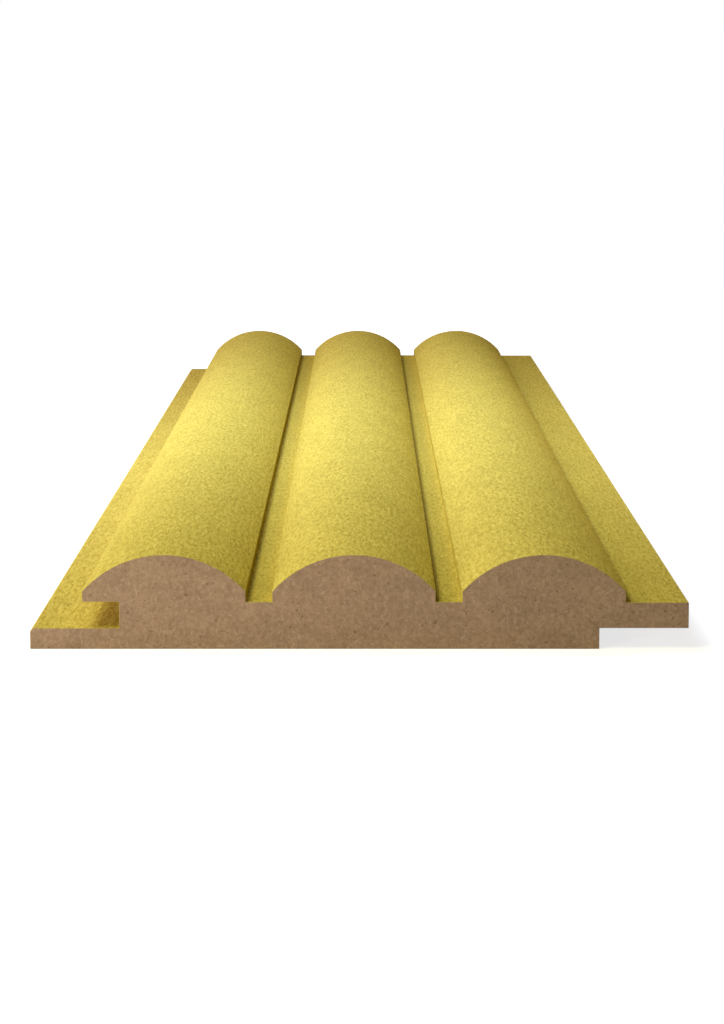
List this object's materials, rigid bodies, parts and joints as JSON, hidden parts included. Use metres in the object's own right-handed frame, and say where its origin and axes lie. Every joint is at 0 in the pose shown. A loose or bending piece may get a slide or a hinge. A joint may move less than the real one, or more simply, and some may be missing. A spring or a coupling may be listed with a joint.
{
  "type": "mdf wall panel",
  "caption": "Painted MDF wall panel with rounded lengthwise reeds, milled with a lip and groove along one long edge and a tongue along the other.",
  "frame": {"origin": "on the flat back, under the middle of the panel's length and overall width", "axes": "+X across the panel from the lip to the tongue, +Y along its length, +Z out of its reeded face"},
  "size_m": [0.1248, 0.6, 0.018],
  "materials": {
    "painted_mdf": "matt"
  },
  "bodies": {
    "root": {"wall_panel": "painted_mdf"}
  },
  "joints": []
}
